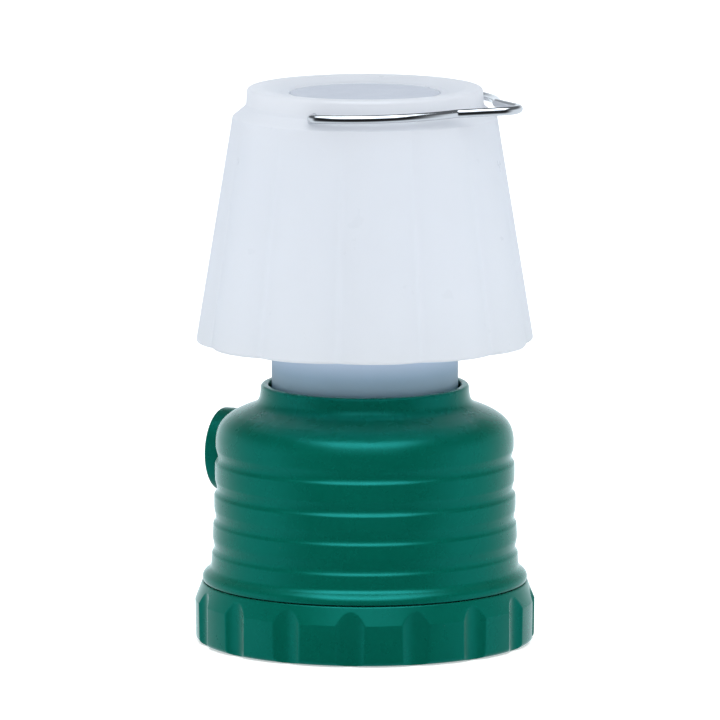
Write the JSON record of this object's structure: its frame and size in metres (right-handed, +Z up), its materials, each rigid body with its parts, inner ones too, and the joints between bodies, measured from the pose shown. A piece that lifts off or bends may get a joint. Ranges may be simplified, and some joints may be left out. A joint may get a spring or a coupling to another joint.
{
  "type": "camping lantern",
  "caption": "Small battery camping lantern with a fluted frosted shade, light tube, ribbed round body, folding wire bail with a hook, and a twist-off base.",
  "frame": {"origin": "centre of the underside, on the resting plane", "axes": "+Z up along the lantern axis, switch button towards -Y, bail pivots along X, folded bail towards +Y"},
  "size_m": [0.08, 0.08, 0.1308],
  "materials": {
    "body_green": "satin",
    "button_green": "matte",
    "shade_frost": "frosted plastic",
    "tube_frost": "frosted plastic",
    "chrome_wire": "polished",
    "disc_grey": "satin",
    "black_plastic": "matte",
    "black_rubber": "matte",
    "steel": "plated",
    "contact_metal": "nickel plated",
    "cell_wrap": "gloss",
    "white_board": "gloss",
    "led_yellow": "gloss",
    "chip_black": "matte",
    "white_plastic": "gloss",
    "wire_red": "gloss"
  },
  "bodies": {
    "body": {"sealing_ring": "black_rubber", "housing": "body_green", "switch_body": "black_plastic", "switch_bracket": "steel", "bracket_screws": "steel", "battery_chassis": "black_plastic", "chassis_screws": "steel", "battery_cradle": "black_plastic", "battery_cells": "cell_wrap", "cell_springs": "contact_metal", "cell_contact_plates": "contact_metal", "cradle_terminals": "contact_metal", "supply_springs": "contact_metal", "light_tube": "tube_frost", "led_board": "white_board", "led_emitter": "led_yellow", "board_components": "chip_black", "led_screws": "steel", "reflector_cone": "white_plastic", "lead_wires": "wire_red", "lampshade": "shade_frost", "shade_screws": "steel", "top_disc": "disc_grey"},
    "base_cap": {"base_cap": "body_green", "foot_pad": "black_rubber"},
    "button": {"switch_button": "button_green", "switch_plunger": "white_plastic"},
    "bail": {"bail_wire": "chrome_wire"}
  },
  "joints": [
    {"name": "bail_swing", "type": "hinge", "parent": "body", "child": "bail", "pos_m": [0, 0, 0.1267], "axis": [1, 0, 0], "range_deg": [0, 177]},
    {"name": "button_press", "type": "slide", "parent": "body", "child": "button", "axis": [0, 1, 0], "range_m": [0, 0.0012], "stiffness_N_per_m": 2500},
    {"name": "cap_twist", "type": "hinge", "parent": "body", "child": "base_cap", "pos_m": [0, 0, 0.007], "axis": [0, 0, 1], "range_deg": [0, 35]}
  ]
}
